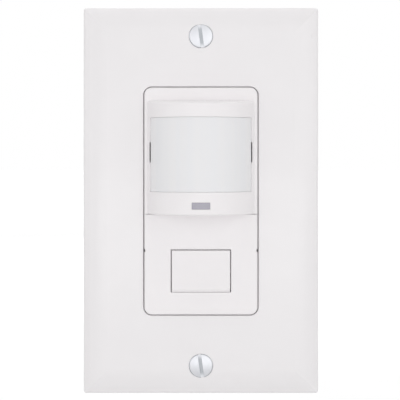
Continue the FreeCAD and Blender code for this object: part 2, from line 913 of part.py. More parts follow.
def make_head_cover():
    """The sensor head: a flat top, a round bulge with a sloping roof, its lens window and slits."""
    flange = rounded_slab(
        -half_device, half_device, head_bottom, top_device, device_face, cover_back, 0, device_radius
    )

    def outer_edge(p):
        at_top = p.z > top_device - device_radius - join
        return near(p.y, device_face) and (near(abs(p.x), half_device) or at_top)

    flange = flange.makeFillet(edge_round, edges_where(flange, outer_edge))
    left = Vector(-head_half_chord, device_face, head_bottom)
    right = Vector(head_half_chord, device_face, head_bottom)
    crest = Vector(0, device_face - head_rise, head_bottom)
    back_left = Vector(-head_half_chord, cover_back, head_bottom)
    back_right = Vector(head_half_chord, cover_back, head_bottom)
    outline = Part.Wire(
        [
            Part.Arc(left, crest, right).toShape(),
            Part.LineSegment(right, back_right).toShape(),
            Part.LineSegment(back_right, back_left).toShape(),
            Part.LineSegment(back_left, left).toShape(),
        ]
    )
    bulge = Part.Face(outline).extrude(Vector(0, 0, roof_back + past - head_bottom))
    bulge = bulge.cut(roof_cutter(0))

    def on_front(p):
        return near(math.hypot(p.x, p.y - lens_axis), head_radius)

    roof_edge = edges_where(bulge, lambda p: on_front(p) and roof_front - join < p.z < roof_back + past)
    bulge = bulge.makeFillet(roof_round, roof_edge)
    head = fuse([flange, bulge])
    lip_edge = edges_where(head, lambda p: on_front(p) and near(p.z, head_bottom))
    head = head.makeFillet(lip_round, lip_edge)
    room = rod_z(0, lens_axis, head_inner_radius, head_bottom + head_bottom_wall, top_device)
    room_front = -2 * head_radius
    front_room = block(-head_radius, head_radius, room_front, cover_back + past, head_bottom, top_device)
    room = room.common(front_room)
    room = room.cut(roof_cutter(head_wall))
    head = head.cut(room)
    cut_in = head_inner_radius - join
    cut_out = head_radius + past
    head = head.cut(arc_shell(cut_in, cut_out, window_bottom, window_top, -window_angle, window_angle))
    grown = lens_clearance
    turn = math.degrees(grown / lens_outer)
    pocket = arc_shell(
        cut_in, lens_outer + grown, lens_bottom - grown, lens_top + grown,
        -lens_angle - turn, lens_angle + turn,
    )
    head = head.cut(pocket)
    head = head.cut(slit_cutter(1)).cut(slit_cutter(-1))
    half_light = light_width / 2 + light_fit
    half_tall = light_height / 2 + light_fit
    head = head.cut(
        block(
            -half_light, half_light, lens_axis - head_radius - past, lens_axis - head_inner_radius + past,
            light_centre - half_tall, light_centre + half_tall,
        )
    )
    hooks = []
    barb_start = strap_front + hook_play
    barb_end = strap_front + hook_barb_height
    for x in (-hook_x, hook_x):
        x0 = x - hook_width / 2
        x1 = x + hook_width / 2
        hook_top = hook_z + hook_thickness
        hooks.append(block(x0, x1, cover_back - join, barb_end, hook_z, hook_top))
        hooks.append(block(x0, x1, barb_start, barb_end, hook_z, hook_top + hook_clearance + hook_barb))
    for side in (1, -1):
        near_x = side * (light_width / 2 + light_flange + foot_offset)
        x0, x1 = sorted((near_x, near_x + side * hook_width))
        foot = chamber_bottom + hook_play
        foot_top = foot + hook_thickness
        hooks.append(block(x0, x1, cover_back - foot_root, barb_end, foot, foot_top))
        hooks.append(block(x0, x1, barb_start, barb_end, foot - hook_barb, foot_top))
    return fuse([head] + hooks)


def make_lens():
    """The curved lens: a raised pane in the window, a thin border, and notches behind the slits."""
    border = arc_shell(lens_inner, lens_outer, lens_bottom, lens_top, -lens_angle, lens_angle)
    pane = arc_shell(
        lens_outer - join, pane_radius, window_bottom + pane_gap, window_top - pane_gap,
        -pane_angle, pane_angle,
    )
    lens = fuse([border, pane])
    for side in (1, -1):
        angles = sorted((side * pane_angle, side * (lens_angle + past)))
        notch = arc_shell(lens_inner - past, head_radius, slit_bottom, slit_top, angles[0], angles[1])
        lens = lens.cut(notch)
    return lens


def make_lens_retainer():
    """Upper and lower half rings behind the lens, grooved for the shutters and joined by two posts."""
    groove_in = shutter_radius - shutter_thickness - track_clearance
    groove_out = shutter_radius + track_clearance
    ring_in = groove_in - track_wall
    ring_out = head_inner_radius - track_clearance
    lip_out = lens_inner - lens_clearance
    upper_low = lens_top - track_height / 2
    lower_high = lens_bottom + track_height / 2
    cut_sweep = track_sweep + past
    upper = arc_shell(ring_in, ring_out, upper_low, track_top, -track_sweep, track_sweep)
    upper_lip = arc_shell(
        ring_out - join, lip_out, upper_low, lens_top - track_clearance, -window_angle, window_angle
    )
    upper_groove = arc_shell(
        groove_in, groove_out, upper_low - past, shutter_top + track_clearance, -cut_sweep, cut_sweep
    )
    lower = arc_shell(ring_in, ring_out, track_bottom, lower_high, -track_sweep, track_sweep)
    lower_lip = arc_shell(
        ring_out - join, lip_out, lens_bottom + track_clearance, lower_high, -window_angle, window_angle
    )
    lower_groove = arc_shell(
        groove_in, groove_out, shutter_bottom - track_clearance, lower_high + past, -cut_sweep, cut_sweep
    )
    pieces = [fuse([upper, upper_lip]).cut(upper_groove), fuse([lower, lower_lip]).cut(lower_groove)]
    post_angle = math.degrees(track_post_width / groove_in)
    for side in (1, -1):
        angles = sorted((side * track_sweep, side * (track_sweep - post_angle)))
        pieces.append(
            arc_shell(groove_in - track_post_wall, groove_in, track_bottom, track_top, angles[0], angles[1])
        )
    return fuse(pieces)


def make_shutter(side):
    """One opaque shutter leaf, parked beside the window, with a grip edge behind the slit."""
    angles = sorted((side * shutter_inner_angle, side * shutter_outer_angle))
    inner = shutter_radius - shutter_thickness
    return arc_shell(inner, shutter_radius, shutter_bottom, shutter_top, angles[0], angles[1])


def make_light_pipe():
    """The light window in the bulge, its flange behind the wall and the stem back to the light."""
    half_width = light_width / 2
    half_height = light_height / 2
    low = light_centre - half_height
    high = light_centre + half_height
    face_radius = head_radius - light_recess
    flange_radius = head_inner_radius - lens_clearance
    flange_back = lens_axis - flange_radius + light_flange_thickness
    head = block(-half_width, half_width, lens_axis - head_radius, flange_back, low, high)
    head = head.common(rod_z(0, lens_axis, face_radius, low - past, high + past))
    flange_turn = math.degrees((half_width + light_flange) / flange_radius)
    flange = arc_shell(
        flange_radius - light_flange_thickness, flange_radius,
        low - light_flange_low, high + light_flange_low, -flange_turn, flange_turn,
    )
    half_stem = light_stem_width / 2
    half_tall = light_stem_height / 2
    led_front = front_board_face - led_thickness
    stem = block(
        -half_stem, half_stem, flange_back - 2 * join, led_front - light_gap,
        light_centre - half_tall, light_centre + half_tall,
    )
    return fuse([head, flange, stem])


def make_status_led():
    """The surface-mounted light on the front board: a base and a lens block."""
    half = led_width / 2
    tall = led_height / 2
    low = light_centre - tall
    high = light_centre + tall
    base_front = front_board_face - led_base_thickness
    base = block(-half, half, base_front, front_board_face, low, high)
    half_dome = led_dome_width / 2
    dome = block(-half_dome, half_dome, front_board_face - led_thickness, base_front + join, low, high)
    return fuse([base, dome])


def make_control_cover():
    """The flat cover below the head, with the button's hole, pry notches and two side tabs."""
    cover = rounded_slab(
        -half_device, half_device, -top_device, cover_top, device_face, cover_back, device_radius, 0
    )

    def outer_edge(p):
        at_bottom = p.z < -top_device + device_radius + join
        return near(p.y, device_face) and (near(abs(p.x), half_device) or at_bottom)

    cover = cover.makeFillet(edge_round, edges_where(cover, outer_edge))
    half_width = button_width / 2 + button_gap
    hole = rounded_slab(
        -half_width, half_width, button_low - button_low_gap, button_high + button_gap,
        device_face - past, cover_back + past, button_hole_corner, button_hole_corner,
    )
    cover = cover.cut(hole)
    tabs = []
    for side in (1, -1):
        x0, x1 = sorted((side * (half_device - pry_notch_depth), side * (half_device + past)))
        cover = cover.cut(block(x0, x1, device_face - past, cover_back + past, notch_low, notch_high))
        outer = side * (chamber_half_width - cover_tab_clearance)
        x0, x1 = sorted((outer, outer - side * cover_tab_thickness))
        for z in (button_centre + cover_tab_width, button_centre - cover_tab_width):
            tabs.append(
                block(
                    x0, x1, cover_back - join, cover_back + cover_tab_length,
                    z - cover_tab_width / 2, z + cover_tab_width / 2,
                )
            )
    return fuse([cover] + tabs)


def make_push_button():
    """The push button: a bevelled pad, the flange behind the cover, two legs and a centre boss."""
    half_width = button_width / 2
    half_height = button_height / 2
    low = button_centre - half_height
    high = button_centre + half_height
    pad = rounded_slab(
        -half_width, half_width, low, high,
        button_front, cover_back + button_play + join, button_corner, button_corner,
    )
    pad = pad.makeFillet(button_round, edges_where(pad, lambda p: near(p.y, button_front)))
    slope = Part.makePolygon(
        [
            Vector(0, button_front - past, low - past),
            Vector(0, button_front - past, low + button_bevel),
            Vector(0, button_front, low + button_bevel),
            Vector(0, button_front + button_bevel_depth, low),
            Vector(0, button_front + button_bevel_depth, low - past),
            Vector(0, button_front - past, low - past),
        ]
    )
    wedge = Part.Face(slope).extrude(Vector(2 * button_width, 0, 0))
    wedge.translate(Vector(-button_width, 0, 0))
    pad = pad.cut(wedge)
    pieces = [pad]
    front = cover_back + button_play
    pieces.append(
        block(
            -half_width - button_flange, half_width + button_flange, front, button_back,
            low - button_flange, high + button_flange,
        )
    )
    half_leg = button_leg / 2
    for x in (-button_leg_offset, button_leg_offset):
        pieces.append(
            block(
                x - half_leg, x + half_leg, button_back - join, strap_front + button_leg_reach,
                button_centre - half_leg, button_centre + half_leg,
            )
        )
    pieces.append(rod_y(0, button_centre, button_boss_radius, button_back - join, plunger_front))
    return fuse(pieces)


def make_switch_body():
    """The tact switch's case with the plunger's bore and the room for its dome."""
    half = switch_size / 2
    body = block(-half, half, switch_front, front_board_face, button_centre - half, button_centre + half)
    bore_radius = plunger_radius + running_clearance
    floor_y = front_board_face - switch_floor
    body = body.cut(rod_y(0, button_centre, bore_radius, switch_front - past, floor_y))
    room_front = floor_y - dome_rise - dome_room
    return body.cut(rod_y(0, button_centre, dome_radius + dome_room, room_front, floor_y))


def make_plunger():
    """The tact switch's plunger, between the button's boss and the dome."""
    back = front_board_face - switch_floor - dome_rise - dome_room / 2
    return rod_y(0, button_centre, plunger_radius, plunger_front, back)


def make_switch_dome():
    """The thin snap dome under the plunger."""
    base = front_board_face - switch_floor
    outer_radius = (dome_radius**2 + dome_rise**2) / (2 * dome_rise)
    centre = Vector(0, base - dome_rise + outer_radius, button_centre)
    shell = Part.makeSphere(outer_radius, centre).cut(Part.makeSphere(outer_radius - dome_thickness, centre))
    return shell.common(rod_y(0, button_centre, dome_radius, base - dome_rise - 1, base))


def make_trimmer_bodies():
    """Three trimmer cases on the front board, each bored for its dial's shaft."""
    half = trimmer_size / 2
    bodies = []
    for x in (-dial_spacing, 0, dial_spacing):
        low = dial_height - half
        body = block(x - half, x + half, trimmer_front, front_board_face, low, low + trimmer_size)
        bore_radius = dial_shaft_radius + running_clearance
        bore_end = front_board_face - switch_floor
        bodies.append(body.cut(rod_y(x, dial_height, bore_radius, trimmer_front - past, bore_end)))
    return bodies


def make_dial(x):
    """One trimmer dial: a slotted disc with a pointer notch and its shaft."""
    disc = rod_y(x, dial_height, dial_radius, dial_front, dial_back)
    disc = disc.makeFillet(button_round, edges_where(disc, lambda p: near(p.y, dial_front)))
    shaft = rod_y(x, dial_height, dial_shaft_radius, dial_back - join, front_board_face - 2 * switch_floor)
    dial = fuse([disc, shaft])
    half = dial_slot_width / 2
    reach = dial_slot_length / 2
    slot = block(
        x - half, x + half, dial_front - past, dial_front + dial_slot_depth,
        dial_height - reach, dial_height + reach,
    )
    pointer = block(
        x - half / 2, x + half / 2, dial_front - past, dial_front + dial_slot_depth / 2,
        dial_height, dial_height + dial_radius + past,
    )
    return dial.cut(slot).cut(pointer)


def make_front_board():
    """The front circuit board, holed for its four screws."""
    board = centred_slab(
        front_board_width, front_board_height, front_board_face, front_board_back, board_corner_radius
    )
    hole_radius = board_screw_radius + through_clearance
    for x in (-board_post_x, board_post_x):
        for z in (-board_post_z, board_post_z):
            board = board.cut(rod_y(x, z, hole_radius, front_board_face - past, front_board_back + past))
    return board


def make_board_screws():
    """Four small screws that hold the front board to the frame's posts."""
    screws = []
    for x in (-board_post_x, board_post_x):
        for z in (-board_post_z, board_post_z):
            tip = front_board_back - board_screw_bite
            shank = rod_y(x, z, board_screw_radius, tip, front_board_back + join)
            head = rod_y(x, z, board_screw_head_radius, front_board_back, front_board_back + board_screw_head)
            half = dial_slot_width / 2
            back = front_board_back + board_screw_head
            reach = board_screw_cross / 2
            screw = fuse([shank, head])
            screw = screw.cut(block(x - half, x + half, back - half, back + past, z - reach, z + reach))
            slot = block(x - reach, x + reach, back - half, back + past, z - half, z + half)
            screws.append(screw.cut(slot))
    return screws


def make_pyro_can():
    """The infrared sensor's metal can, with its rim and the opening for its window."""
    front = front_board_face - can_height
    can = rod_y(0, sensor_height, can_radius, front, front_board_face)
    can = can.makeFillet(can_rim, edges_where(can, lambda p: near(p.y, front)))
    rim = rod_y(0, sensor_height, can_rim_radius, front_board_face - can_rim, front_board_face)
    half = can_window / 2
    floor_y = front + can_window_thickness
    opening = block(-half, half, front - past, floor_y, sensor_height - half, sensor_height + half)
    return fuse([can, rim]).cut(opening)


def make_pyro_window():
    """The dark filter window in the can's front."""
    front = front_board_face - can_height
    half = can_window / 2 - lens_clearance
    floor_y = front + can_window_thickness
    return block(-half, half, front + can_window_sink, floor_y, sensor_height - half, sensor_height + half)


def make_photocell():
    """The round photocell that measures the room's daylight through the lens."""
    front = front_board_face - photocell_height
    cell = rod_y(photocell_x, photocell_z, photocell_radius, front, front_board_face)
    return cell.makeFillet(button_round, edges_where(cell, lambda p: near(p.y, front)))


def make_controller():
    """The controller chip on the back of the front board, with its rows of leads."""
    half = chip_size / 2
    back = front_board_back + chip_height
    pieces = [block(-half, half, front_board_back + chip_lift, back, chip_z - half, chip_z + half)]
    for number in range(chip_leads):
        u = -half + chip_size * (number + 0.5) / chip_leads
        lead = chip_size / chip_leads / 4
        for side in (1, -1):
            low, high = sorted((side * (half - join), side * (half + chip_lead_reach)))
            top = front_board_back + chip_height / 2
            pieces.append(block(low, high, front_board_back, top, chip_z + u - lead, chip_z + u + lead))
            pieces.append(block(u - lead, u + lead, front_board_back, top, chip_z + low, chip_z + high))
    return fuse(pieces)


def make_board_header():
    """The header that joins the two boards: a moulded bar with square pins."""
    length = header_pins * header_pitch
    half = header_block / 2
    low = header_z - length / 2
    bar = block(
        header_x - half, header_x + half, rear_board_face - header_block, rear_board_face, low, low + length
    )
    pieces = [bar]
    for number in range(header_pins):
        z = low + header_pitch * (number + 0.5)
        reach = header_pin / 2
        pieces.append(
            block(header_x - reach, header_x + reach, front_board_back, rear_board_face, z - reach, z + reach)
        )
    return fuse(pieces)


def make_rear_board():
    """The power board, seated on the housing's ledges."""
    return centred_slab(
        rear_board_width, rear_board_height, rear_board_face, rear_board_back, board_corner_radius
    )


def make_rear_housing():
    """The housing in the wall box: a deep tub with end flanges, ledges and terminal pockets."""
    outer = centred_slab(housing_width, housing_height, 0, housing_depth, housing_corner_radius)
    back_edges = edges_where(outer, lambda p: near(p.y, housing_depth))
    outer = outer.makeFillet(housing_back_round, back_edges)
    flanges = centred_slab(
        housing_flange_width, housing_flange_height, 0, housing_flange_thickness, housing_corner_radius
    )
    housing = fuse([outer, flanges])
    inner_width = housing_width - 2 * housing_wall
    inner_height = housing_height - 2 * housing_wall
    inner_radius = housing_corner_radius - housing_wall
    housing = housing.cut(centred_slab(inner_width, inner_height, -1, housing_floor, inner_radius))
    additions = []
    for x_side in (1, -1):
        for z_side in (1, -1):
            x0, x1 = sorted((x_side * (inner_width / 2 - ledge_width), x_side * (inner_width / 2 + join)))
            z0, z1 = sorted((z_side * (inner_height / 2 - ledge_height), z_side * (inner_height / 2 + join)))
            additions.append(block(x0, x1, rear_board_back, housing_floor + join, z0, z1))
    half = pocket_size / 2
    for side, z in terminals:
        x0, x1 = sorted((side * (pocket_x - pocket_floor), side * (housing_width / 2 - join)))
        reach = half + pocket_floor
        additions.append(block(x0, x1, terminal_y - reach, housing_floor + join, z - reach, z + reach))
    housing = fuse([housing] + additions)
    for side, z in terminals:
        x0, x1 = sorted((side * pocket_x, side * housing_width))
        housing = housing.cut(block(x0, x1, terminal_y - half, terminal_y + half, z - half, z + half))
        screw_end = pocket_x - pocket_floor - terminal_screw_reach
        x0, x1 = sorted((side * screw_end, side * housing_width))
        housing = housing.cut(rod_x(terminal_y, z, screw_radius + through_clearance, x0, x1))
        x0, x1 = sorted((side * screw_end, side * (pocket_x + join)))
        slot_half = terminal_tab_width / 2 + terminal_slot_fit
        tab_y = terminal_y - half
        slot_end = tab_y + terminal_tab_thickness + terminal_slot_fit
        housing = housing.cut(block(x0, x1, tab_y, slot_end, z - slot_half, z + slot_half))
    for x in (-rivet_x, rivet_x):
        for z in (-rivet_z, rivet_z):
            hole_radius = rivet_radius + rivet_clearance
            housing = housing.cut(rod_y(x, z, hole_radius, -past, housing_flange_thickness + past))
    return finish_housing(housing)


def finish_housing(housing):
    """Moulded marks: end ribs, a bare sunk panel and strip gauge on the back, and a parting groove."""
    ribs = []
    for side in (1, -1):
        for x in (-housing_rib_spacing, 0, housing_rib_spacing):
            end_face = housing_height / 2
            z0, z1 = sorted((side * (end_face - join), side * (end_face + housing_rib_height)))
            ribs.append(
                block(
                    x - housing_rib_thickness / 2, x + housing_rib_thickness / 2,
                    housing_flange_thickness - join, housing_flange_thickness + housing_rib_length, z0, z1,
                )
            )
    housing = fuse([housing] + ribs)
    panel_half = housing_width / 2 - housing_panel_margin
    panel = rounded_slab(
        -panel_half, panel_half,
        -housing_height / 2 + housing_panel_low_margin, housing_height / 2 - housing_panel_margin,
        housing_depth - housing_panel_depth, housing_depth + past,
        housing_panel_radius, housing_panel_radius,
    )
    gauge_low = -housing_height / 2 + strip_gauge_lift
    gauge = block(
        -strip_gauge_length / 2, strip_gauge_length / 2,
        housing_depth - strip_gauge_depth, housing_depth + past, gauge_low, gauge_low + strip_gauge_width,
    )
    groove_front = housing_depth - parting_offset - parting_width
    groove_back = housing_depth - parting_offset
    around = centred_slab(
        housing_width + 2 * past, housing_height + 2 * past, groove_front, groove_back, housing_corner_radius
    )
    core = centred_slab(
        housing_width - 2 * parting_depth, housing_height - 2 * parting_depth,
        groove_front - past, groove_back + past, housing_corner_radius - parting_depth,
    )
    return housing.cut(panel).cut(gauge).cut(around.cut(core))


def make_terminal_tabs():
    """Brass tabs: a tapped plate in each pocket, bent through its floor to the rear board."""
    tabs = []
    half_pocket = pocket_size / 2
    half_width = terminal_tab_width / 2
    for side, z in terminals:
        tab_y = terminal_y - half_pocket + terminal_slot_fit / 2
        x0, x1 = sorted((side * pocket_x, side * (pocket_x + terminal_tab_thickness)))
        plate = block(x0, x1, tab_y, terminal_y + half_width, z - half_width, z + half_width)
        x0, x1 = sorted((side * leg_x, side * (pocket_x + terminal_tab_thickness)))
        arm = block(x0, x1, tab_y, tab_y + terminal_tab_thickness, z - half_width, z + half_width)
        x0, x1 = sorted((side * leg_x, side * (leg_x + terminal_tab_thickness)))
        half_leg = half_width / 2
        leg = block(x0, x1, rear_board_back, tab_y + terminal_tab_thickness, z - half_leg, z + half_leg)
        tab = fuse([plate, arm, leg])
        x0, x1 = sorted((side * (pocket_x - past), side * (pocket_x + terminal_tab_thickness + past)))
        tabs.append(tab.cut(rod_x(terminal_y, z, screw_radius + tapped_clearance, x0, x1)))
    return tabs


def make_terminal_clamps():
    """Square pressure plates under the terminal screws' heads."""
    clamps = []
    half = terminal_clamp_size / 2
    for side, z in terminals:
        start = pocket_x + terminal_tab_thickness + wire_gap
        x0, x1 = sorted((side * start, side * (start + terminal_clamp_thickness)))
        clamp = block(x0, x1, terminal_y - half, terminal_y + half, z - half, z + half)
        clamps.append(clamp.cut(rod_x(terminal_y, z, screw_radius + tapped_clearance, x0 - past, x1 + past)))
    return clamps


def make_terminal_screws():
    """Slotted terminal screws through the clamps and the tapped tabs."""
    screws = []
    for side, z in terminals:
        seat = pocket_x + terminal_tab_thickness + wire_gap + terminal_clamp_thickness
        tip = pocket_x - pocket_floor - terminal_screw_reach / 2
        x0, x1 = sorted((side * tip, side * (seat + join)))
        shank = rod_x(terminal_y, z, screw_radius, x0, x1)
        x0, x1 = sorted((side * seat, side * (seat + terminal_head_height)))
        head = rod_x(terminal_y, z, terminal_head_radius, x0, x1)
        outer = side * (seat + terminal_head_height)
        x0, x1 = sorted((outer - side * terminal_slot_depth, outer + side))
        half = driver_slot_width / 2
        reach = terminal_head_radius + past
        slot = block(x0, x1, terminal_y - reach, terminal_y + reach, z - half, z + half)
        screws.append(fuse([shank, head]).cut(slot))
    return screws


def make_relay():
    """The relay that switches the load, as its closed case with a raised vent."""
    half_width = relay_width / 2
    half_height = relay_height / 2
    back = rear_board_back + relay_depth
    case = block(
        relay_x - half_width, relay_x + half_width, rear_board_back, back,
        relay_z - half_height, relay_z + half_height,
    )
    rim = edges_where(case, lambda p: near(p.y, back))
    case = case.makeFillet(edge_round, rim)
    vent_x = relay_x + half_width / 2
    vent_z = relay_z + half_height / 2
    vent = rod_y(vent_x, vent_z, relay_vent_radius, back - join, back + edge_round)
    return fuse([case, vent])


def make_film_capacitor():
    """The boxed film capacitor across the line."""
    half_width = film_width / 2
    half_height = film_height / 2
    back = rear_board_back + film_depth
    case = block(
        film_x - half_width, film_x + half_width, rear_board_back, back,
        film_z - half_height, film_z + half_height,
    )
    return case.makeFillet(edge_round, edges_where(case, lambda p: near(p.y, back)))


def make_smoothing_capacitors():
    """Two electrolytic cans standing on the rear board."""
    cans = []
    for number in range(2):
        x = can_cap_x + number * can_cap_spacing
        back = rear_board_back + can_cap_length
        can = rod_y(x, can_cap_z, can_cap_radius, rear_board_back, back)
        can = can.makeFillet(edge_round, edges_where(can, lambda p: near(p.y, back)))
        groove_y = rear_board_back + can_groove_offset
        ring = Part.makeTorus(can_cap_radius, edge_round, Vector(x, groove_y, can_cap_z), Vector(0, 1, 0))
        cans.append(can.cut(ring))
    return cans


def make_varistor():
    """The disc that clamps surges, standing on edge on its two leads."""
    y = rear_board_back + varistor_lift + varistor_radius
    half = varistor_thickness / 2
    disc = rod_x(y, varistor_z, varistor_radius, varistor_x - half, varistor_x + half)
    disc = disc.makeFillet(varistor_round, edges_where(disc, lambda p: near(abs(p.x - varistor_x), half)))
    leads = []
    for side in (1, -1):
        z = varistor_z + side * varistor_radius / 2
        leads.append(rod_y(varistor_x, z, lead_radius, rear_board_back, y))
    return fuse([disc] + leads)


def axial_part(x, z, radius, length, along_x):
    """A part that lies along the board on one lead wire, bent down to the board at both ends."""
    y = rear_board_back + axial_lift + radius
    along = Vector(1, 0, 0) if along_x else Vector(0, 0, 1)
    down = Vector(0, -1, 0)
    centre = Vector(x, y, z)
    reach = length / 2 + lead_overhang
    bend = 2 * lead_radius
    turn = bend * (1 - math.sqrt(0.5))
    drop = y - rear_board_back

    def corner(side, inward, lowered):
        return centre + along * (side * (reach - inward)) + down * lowered

    wire = Part.Wire(
        [
            Part.LineSegment(corner(-1, 0, drop), corner(-1, 0, bend)).toShape(),
            Part.Arc(corner(-1, 0, bend), corner(-1, turn, turn), corner(-1, bend, 0)).toShape(),
            Part.LineSegment(corner(-1, bend, 0), corner(1, bend, 0)).toShape(),
            Part.Arc(corner(1, bend, 0), corner(1, turn, turn), corner(1, 0, bend)).toShape(),
            Part.LineSegment(corner(1, 0, bend), corner(1, 0, drop)).toShape(),
        ]
    )
    ring = Part.Wire([Part.makeCircle(lead_radius, corner(-1, 0, drop), Vector(0, 1, 0))])
    lead = wire.makePipeShell([ring], True, False)
    body = Part.makeCylinder(radius, length, centre - along * (length / 2), along)
    return fuse([body, lead])


def make_fuse_resistor():
    """The fusible resistor in the line lead."""
    return axial_part(fuse_x, fuse_z, fuse_radius, fuse_length, False)


def make_rectifier_diodes():
    """Four diodes side by side."""
    diodes = []
    for number in range(diode_count):
        z = diode_z - number * diode_pitch
        diodes.append(axial_part(diode_x, z, diode_radius, diode_length, True))
    return diodes


save("wallplate", [make_wallplate()])
save("plate_screws", make_plate_screws())
save("mounting_strap", [make_mounting_strap()])
save("box_screws", make_box_screws())
save("screw_retainers", make_screw_retainers())
save("ground_screw", [make_ground_screw()])
save("frame_rivets", make_frame_rivets())
save("front_frame", [make_front_frame()])
save("head_cover", [make_head_cover()])
save("lens", [make_lens()])
save("lens_retainer", [make_lens_retainer()])
save("left_shutter", [make_shutter(-1)])
save("right_shutter", [make_shutter(1)])
save("light_pipe", [make_light_pipe()])
save("status_led", [make_status_led()])
save("control_cover", [make_control_cover()])
save("push_button", [make_push_button()])
save("tact_switch", [make_switch_body()])
save("switch_plunger", [make_plunger()])
save("switch_dome", [make_switch_dome()])
save("trimmer_bodies", make_trimmer_bodies())
for name, x in (("time_dial", -dial_spacing), ("light_dial", 0), ("range_dial", dial_spacing)):
    save(name, [make_dial(x)])
save("front_board", [make_front_board()])
save("board_screws", make_board_screws())
save("sensor_can", [make_pyro_can()])
save("sensor_window", [make_pyro_window()])
save("photocell", [make_photocell()])
save("controller_chip", [make_controller()])
save("board_header", [make_board_header()])
save("rear_board", [make_rear_board()])
save("relay", [make_relay()])
save("film_capacitor", [make_film_capacitor()])
save("smoothing_capacitors", make_smoothing_capacitors())
save("varistor", [make_varistor()])
save("fuse_resistor", [make_fuse_resistor()])
save("rectifier_diodes", make_rectifier_diodes())
save("rear_housing", [make_rear_housing()])
save("terminal_tabs", make_terminal_tabs())
save("terminal_clamps", make_terminal_clamps())
save("terminal_screws", make_terminal_screws())
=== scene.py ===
import math

import bpy
import bmesh
from mathutils import Matrix, Vector


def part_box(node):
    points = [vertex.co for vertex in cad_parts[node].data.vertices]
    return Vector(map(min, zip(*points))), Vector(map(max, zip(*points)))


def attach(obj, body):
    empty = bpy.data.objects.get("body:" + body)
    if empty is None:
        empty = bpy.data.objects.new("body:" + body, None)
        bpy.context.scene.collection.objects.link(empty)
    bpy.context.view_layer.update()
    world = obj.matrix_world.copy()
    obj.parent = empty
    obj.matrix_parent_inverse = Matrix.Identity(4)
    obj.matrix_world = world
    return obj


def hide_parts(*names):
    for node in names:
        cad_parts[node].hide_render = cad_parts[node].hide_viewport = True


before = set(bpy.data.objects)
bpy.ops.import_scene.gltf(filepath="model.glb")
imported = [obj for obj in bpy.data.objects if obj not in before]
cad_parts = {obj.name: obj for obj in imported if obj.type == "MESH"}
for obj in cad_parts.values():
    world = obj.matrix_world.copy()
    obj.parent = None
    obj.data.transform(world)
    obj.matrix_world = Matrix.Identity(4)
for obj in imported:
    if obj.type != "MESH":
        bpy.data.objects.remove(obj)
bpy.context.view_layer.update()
MM = 0.001

# Materials


def lit(r, g, b):
    """A colour as it is seen, 0 to 255 a channel, as the linear values that shaders take."""
    def channel(value):
        share = value / 255
        return share / 12.92 if share <= 0.04045 else ((share + 0.055) / 1.055) ** 2.4
    return (channel(r), channel(g), channel(b), 1.0)


class Material:
    """One procedural material: its shader, and the few node patterns that the surfaces share."""

    def __init__(self, name, roughness, metallic=0.0):
        self.made = bpy.data.materials.new(name)
        self.made.use_nodes = True
        self.tree = self.made.node_tree
        self.tree.nodes.clear()
        self.output = self.tree.nodes.new("ShaderNodeOutputMaterial")
        self.shader = self.tree.nodes.new("ShaderNodeBsdfPrincipled")
        self.link(self.shader.outputs["BSDF"], self.output.inputs["Surface"])
        self.shader.inputs["Roughness"].default_value = roughness
        self.shader.inputs["Metallic"].default_value = metallic
        self.place = self.tree.nodes.new("ShaderNodeTexCoord").outputs["Object"]

    def node(self, kind, **settings):
        node = self.tree.nodes.new(kind)
        for key, value in settings.items():
            setattr(node, key, value)
        return node

    def link(self, out, into):
        self.tree.links.new(out, into)

    def stretched(self, scale):
        """The object's coordinates, scaled by one factor for each axis."""
        mapping = self.node("ShaderNodeMapping")
        mapping.inputs["Scale"].default_value = scale
        self.link(self.place, mapping.inputs["Vector"])
        return mapping.outputs["Vector"]

    def noise(self, size, detail, scale=(1, 1, 1)):
        """Noise whose grains measure about size metres."""
        noise = self.node("ShaderNodeTexNoise")
        noise.inputs["Scale"].default_value = 1 / size
        noise.inputs["Detail"].default_value = detail
        self.link(self.stretched(scale), noise.inputs["Vector"])
        return noise.outputs["Fac"]

    def colour(self, factor, low, high, span=(0.35, 0.65)):
        """The base colour: low up to where the factor is span[0], high from span[1] on."""
        ramp = self.node("ShaderNodeValToRGB")
        for point, place, shown in zip(ramp.color_ramp.elements, span, (low, high)):
            point.position = place
            point.color = shown
        self.link(factor, ramp.inputs["Fac"])
        self.link(ramp.outputs["Color"], self.shader.inputs["Base Color"])

    def ranged(self, source, start=0.0, end=1.0, low=0.0, high=1.0):
        """Low where the source is at start, high where it is at end, and never beyond these."""
        scale = self.node("ShaderNodeMapRange")
        scale.inputs["From Min"].default_value = start
        scale.inputs["From Max"].default_value = end
        scale.inputs["To Min"].default_value = low
        scale.inputs["To Max"].default_value = high
        self.link(source, scale.inputs["Value"])
        return scale.outputs["Result"]

    def calculate(self, operation, *values):
        """One step of arithmetic on values that are outputs or plain numbers."""
        step = self.node("ShaderNodeMath", operation=operation)
        for socket, value in zip(step.inputs, values):
            if isinstance(value, float):
                socket.default_value = value
            else:
                self.link(value, socket)
        return step.outputs[0]

    def gloss(self, factor, low, high):
        """Roughness between low and high."""
        self.link(self.ranged(factor, low=low, high=high), self.shader.inputs["Roughness"])

    def bump(self, height, depth):
        """Raises the surface by depth metres where height is 1."""
        bump = self.node("ShaderNodeBump")
        bump.inputs["Strength"].default_value = 1.0
        bump.inputs["Distance"].default_value = depth
        self.link(height, bump.inputs["Height"])
        self.link(bump.outputs["Normal"], self.shader.inputs["Normal"])


def shade(colour, share):
    """A colour made darker or lighter by a factor."""
    return (colour[0] * share, colour[1] * share, colour[2] * share, 1.0)


